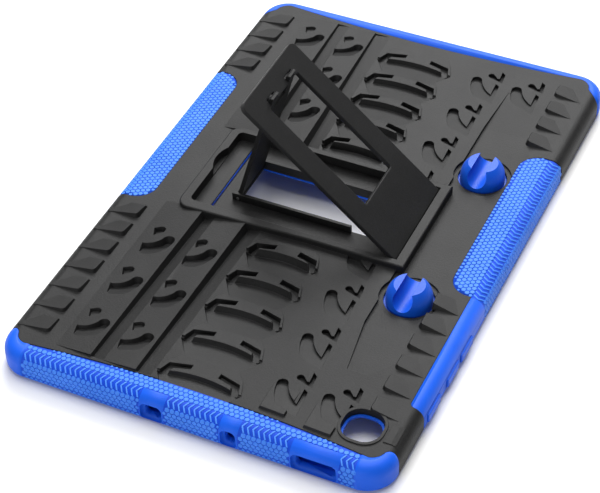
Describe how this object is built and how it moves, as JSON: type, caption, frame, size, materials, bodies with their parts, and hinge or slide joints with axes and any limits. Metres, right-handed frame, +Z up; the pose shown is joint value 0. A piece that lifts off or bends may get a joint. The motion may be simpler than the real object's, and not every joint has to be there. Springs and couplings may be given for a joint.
{
  "type": "tablet case",
  "caption": "Rugged two-layer tablet case: soft sleeve, ribbed hard back shell, folding kickstand, pen clips, button covers and port cut-outs.",
  "frame": {"origin": "on the surface the case lies on, screen side down, under the centre of its outline", "axes": "+X across the short side, towards the buttons; +Y along the long side, towards the charging opening; +Z up, out of the case's back"},
  "size_m": [0.1648, 0.254, 0.0708],
  "materials": {
    "hard_shell": "fine matt moulded grain",
    "soft_sleeve": "satin soft thermoplastic, moulded hexagon grip",
    "stand_plastic": "smooth satin moulded plastic",
    "clip_rubber": "smooth satin soft thermoplastic",
    "button_rubber": "smooth satin soft thermoplastic",
    "pin_steel": "drawn wire"
  },
  "bodies": {
    "case": {"back_shell": "hard_shell", "inner_sleeve": "soft_sleeve", "leg_hinge_pin": "pin_steel", "strut_hinge_pin": "pin_steel", "pen_clip_upper": "clip_rubber", "pen_clip_lower": "clip_rubber"},
    "leg": {"kickstand_leg": "stand_plastic"},
    "strut": {"kickstand_strut": "stand_plastic"},
    "power_button": {"power_button_cover": "button_rubber"},
    "volume_up": {"volume_up_cover": "button_rubber"},
    "volume_down": {"volume_down_cover": "button_rubber"}
  },
  "joints": [
    {"name": "leg_hinge", "type": "hinge", "parent": "case", "child": "leg", "pos_m": [0.0401, 0.002, 0.013], "axis": [0, 1, 0], "range_deg": [-40.9, 14]},
    {"name": "strut_hinge", "type": "hinge", "parent": "case", "child": "strut", "pos_m": [-0.034, 0.002, 0.0112], "axis": [0, 1, 0], "range_deg": [0, 73.67]},
    {"name": "power_press", "type": "slide", "parent": "case", "child": "power_button", "axis": [-1, 0, 0], "range_m": [0, 0.0005], "stiffness_N_per_m": 2000},
    {"name": "volume_up_press", "type": "slide", "parent": "case", "child": "volume_up", "axis": [-1, 0, 0], "range_m": [0, 0.0005], "stiffness_N_per_m": 2000},
    {"name": "volume_down_press", "type": "slide", "parent": "case", "child": "volume_down", "axis": [-1, 0, 0], "range_m": [0, 0.0005], "stiffness_N_per_m": 2000}
  ]
}
